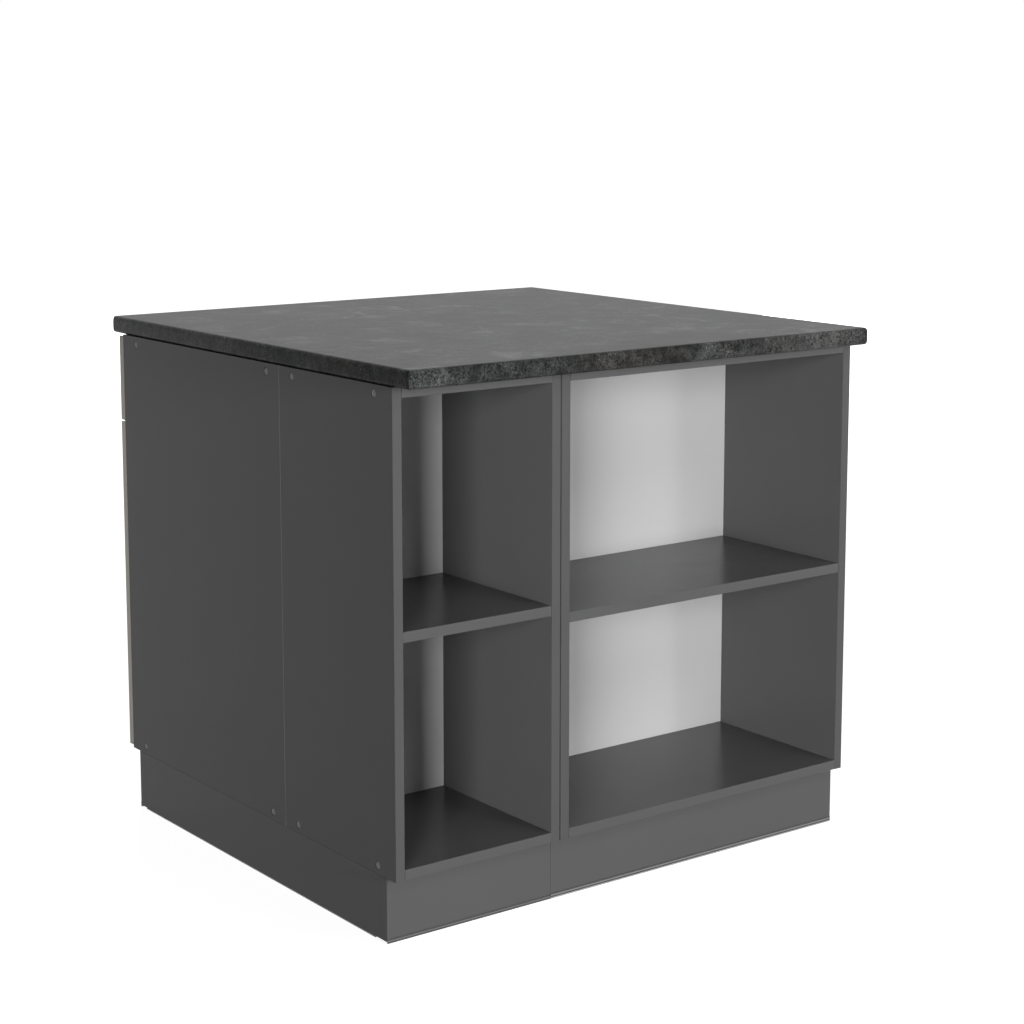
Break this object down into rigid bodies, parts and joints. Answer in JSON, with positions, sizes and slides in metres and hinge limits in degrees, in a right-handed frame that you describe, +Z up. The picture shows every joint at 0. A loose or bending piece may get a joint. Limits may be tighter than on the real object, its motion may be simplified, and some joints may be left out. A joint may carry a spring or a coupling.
{
  "type": "kitchen island unit",
  "caption": "Square kitchen island: open shelf cabinets on one side, door and drawer cabinets on the other, a plinth on legs and a dark stone-look worktop.",
  "frame": {"origin": "on the floor, under the middle of the worktop", "axes": "+Z up; -Y towards the open shelf side; +Y towards the doors and the drawer; +X to the right as seen from the open side"},
  "size_m": [0.9, 0.9, 0.8483],
  "materials": {
    "graphite_board": "matt dark graphite melamine on chipboard",
    "plinth_board": "matt graphite laminate on chipboard",
    "back_board": "pale grey lacquered fibreboard",
    "worktop_laminate": "dark stone-look laminate, mottled with soft pale streaks",
    "greige_front": "matt warm grey foil on milled fibreboard",
    "black_handle": "matt black powder coat",
    "hinge_steel": "nickel-plated steel",
    "drawer_steel": "grey lacquered steel"
  },
  "bodies": {
    "carcass": {"worktop": "worktop_laminate", "open_narrow_side_left": "graphite_board", "open_narrow_side_right": "graphite_board", "open_narrow_top": "graphite_board", "open_narrow_bottom": "graphite_board", "open_narrow_shelf": "graphite_board", "open_narrow_back": "back_board", "open_wide_side_left": "graphite_board", "open_wide_side_right": "graphite_board", "open_wide_top": "graphite_board", "open_wide_bottom": "graphite_board", "open_wide_shelf": "graphite_board", "open_wide_back": "back_board", "base_narrow_side_left": "graphite_board", "base_narrow_side_right": "graphite_board", "base_narrow_rail_front": "graphite_board", "base_narrow_rail_back": "graphite_board", "base_narrow_bottom": "graphite_board", "base_narrow_shelf": "graphite_board", "base_narrow_back": "back_board", "base_wide_side_left": "graphite_board", "base_wide_side_right": "graphite_board", "base_wide_rail_front": "graphite_board", "base_wide_rail_back": "graphite_board", "base_wide_bottom": "graphite_board", "base_wide_shelf": "graphite_board", "base_wide_back": "back_board", "plinth_open_narrow": "plinth_board", "plinth_open_wide": "plinth_board", "plinth_base_narrow": "plinth_board", "plinth_base_wide": "plinth_board", "plinth_side_left": "plinth_board", "plinth_side_right": "plinth_board", "drawer_rail_left": "drawer_steel", "drawer_rail_right": "drawer_steel", "hinge_arm_narrow_lower": "hinge_steel", "hinge_arm_narrow_upper": "hinge_steel", "hinge_arm_left_lower": "hinge_steel", "hinge_arm_left_upper": "hinge_steel", "hinge_arm_right_lower": "hinge_steel", "hinge_arm_right_upper": "hinge_steel"},
    "narrow_door": {"door_narrow": "greige_front", "handle_narrow": "black_handle", "hinge_cup_narrow_lower": "hinge_steel", "hinge_cup_narrow_upper": "hinge_steel"},
    "left_door": {"door_left": "greige_front", "handle_left": "black_handle", "hinge_cup_left_lower": "hinge_steel", "hinge_cup_left_upper": "hinge_steel"},
    "right_door": {"door_right": "greige_front", "handle_right": "black_handle", "hinge_cup_right_lower": "hinge_steel", "hinge_cup_right_upper": "hinge_steel"},
    "drawer": {"drawer_front": "greige_front", "handle_drawer": "black_handle", "drawer_side_left": "drawer_steel", "drawer_side_right": "drawer_steel", "drawer_bottom": "graphite_board", "drawer_back": "graphite_board"}
  },
  "joints": [
    {"name": "narrow_door_swing", "type": "hinge", "parent": "carcass", "child": "narrow_door", "pos_m": [0.4445, 0.422, 0.46], "axis": [0, 0, -1], "range_deg": [0, 100]},
    {"name": "left_door_swing", "type": "hinge", "parent": "carcass", "child": "left_door", "pos_m": [0.1445, 0.422, 0.387], "axis": [0, 0, -1], "range_deg": [0, 100]},
    {"name": "right_door_swing", "type": "hinge", "parent": "carcass", "child": "right_door", "pos_m": [-0.4445, 0.422, 0.387], "axis": [0, 0, 1], "range_deg": [0, 100]},
    {"name": "drawer_slide", "type": "slide", "parent": "carcass", "child": "drawer", "axis": [0, 1, 0], "range_m": [0, 0.35]}
  ]
}
